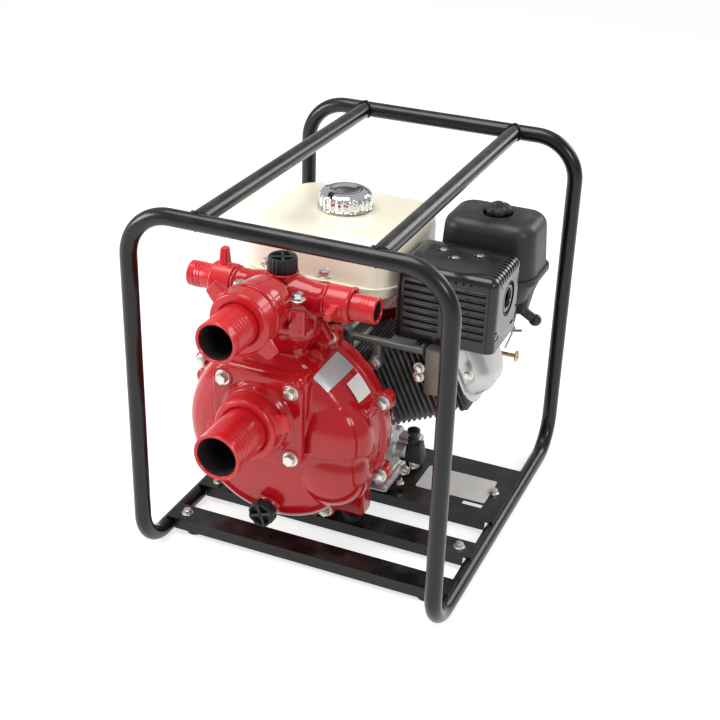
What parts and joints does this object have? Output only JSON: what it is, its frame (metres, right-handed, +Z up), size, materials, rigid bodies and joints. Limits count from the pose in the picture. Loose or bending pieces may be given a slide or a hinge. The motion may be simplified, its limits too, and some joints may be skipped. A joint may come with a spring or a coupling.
{
  "type": "engine-driven water pump",
  "caption": "Portable engine-driven centrifugal water pump in an open tube frame, with a flanged suction inlet, a winged main outlet and side outlets.",
  "frame": {"origin": "on the ground under the middle of the overall box", "axes": "+X to the right seen from the pump end, +Y from the hose tails back to the pull starter, +Z up"},
  "size_m": [0.381, 0.5, 0.4439],
  "materials": {
    "frame_black": "smooth satin powder coat",
    "rubber_black": "matt moulded rubber",
    "pump_red": "high gloss paint over a casting",
    "coupling_red": "gloss with fine turning lines",
    "plastic_black": "finely grained moulding",
    "cast_aluminium": "cast, lightly blasted",
    "engine_black": "satin heat-resistant paint",
    "muffler_steel": "dull heat-toned sheet",
    "bracket_steel": "cast grey",
    "tank_cream": "gloss enamel",
    "cap_chrome": "polished",
    "fan_red": "gloss paint over pressed sheet"
  },
  "bodies": {
    "pump_set": {"front_hoop": "frame_black", "rear_hoop": "frame_black", "top_bar_left": "frame_black", "top_bar_right": "frame_black", "front_crossmember": "frame_black", "mid_crossmember": "frame_black", "engine_base_plate": "frame_black", "rubber_feet": "rubber_black", "engine_mounts": "rubber_black", "pump_mounts": "rubber_black", "pump_casing": "pump_red", "pump_adapter": "pump_red", "suction_flange": "pump_red", "discharge_manifold": "pump_red", "suction_tail": "coupling_red", "discharge_tail": "coupling_red", "left_tail": "coupling_red", "right_tail": "coupling_red", "oil_filler_cap": "plastic_black", "air_cleaner_case": "plastic_black", "air_cleaner_cover": "plastic_black", "recoil_handle": "plastic_black", "crankcase": "cast_aluminium", "crankcase_cover": "cast_aluminium", "head_cover": "cast_aluminium", "carburettor": "cast_aluminium", "cylinder_block": "engine_black", "cylinder_head": "engine_black", "muffler_guard": "engine_black", "tank_brackets": "engine_black", "muffler": "muffler_steel", "muffler_stay": "bracket_steel", "fuel_tank": "tank_cream", "fan_cover": "fan_red", "recoil_starter": "fan_red"},
    "suction_nut_body": {"suction_nut": "coupling_red"},
    "discharge_nut_body": {"discharge_nut": "coupling_red"},
    "left_nut_body": {"left_nut": "coupling_red"},
    "right_nut_body": {"right_nut": "coupling_red"},
    "priming_cap_body": {"priming_cap": "plastic_black"},
    "drain_knob_body": {"drain_knob": "plastic_black"},
    "fuel_cap_body": {"fuel_cap": "cap_chrome"},
    "air_cleaner_knob_body": {"air_cleaner_knob": "plastic_black"}
  },
  "joints": [
    {"name": "suction_nut_turn", "type": "hinge", "parent": "pump_set", "child": "suction_nut_body", "pos_m": [-0.055, -0.17603, 0.192], "axis": [0, -1, 0], "continuous": true},
    {"name": "discharge_nut_turn", "type": "hinge", "parent": "pump_set", "child": "discharge_nut_body", "pos_m": [-0.055, -0.18652, 0.326], "axis": [0, -1, 0], "continuous": true},
    {"name": "left_nut_turn", "type": "hinge", "parent": "pump_set", "child": "left_nut_body", "pos_m": [-0.1265, -0.09203, 0.321], "axis": [-1, 0, 0], "continuous": true},
    {"name": "right_nut_turn", "type": "hinge", "parent": "pump_set", "child": "right_nut_body", "pos_m": [0.0165, -0.09203, 0.321], "axis": [1, 0, 0], "continuous": true},
    {"name": "priming_cap_turn", "type": "hinge", "parent": "pump_set", "child": "priming_cap_body", "pos_m": [-0.055, -0.09203, 0.355], "axis": [0, 0, 1], "continuous": true},
    {"name": "drain_knob_turn", "type": "hinge", "parent": "pump_set", "child": "drain_knob_body", "pos_m": [-0.055, -0.14403, 0.058], "axis": [0, -1, 0], "continuous": true},
    {"name": "fuel_cap_turn", "type": "hinge", "parent": "pump_set", "child": "fuel_cap_body", "pos_m": [-0.055, 0.07698, 0.376], "axis": [0, 0, 1], "range_deg": [0, 90]},
    {"name": "air_cleaner_knob_turn", "type": "hinge", "parent": "pump_set", "child": "air_cleaner_knob_body", "pos_m": [0.118, 0.13398, 0.3688], "axis": [0, 0, 1], "continuous": true}
  ]
}
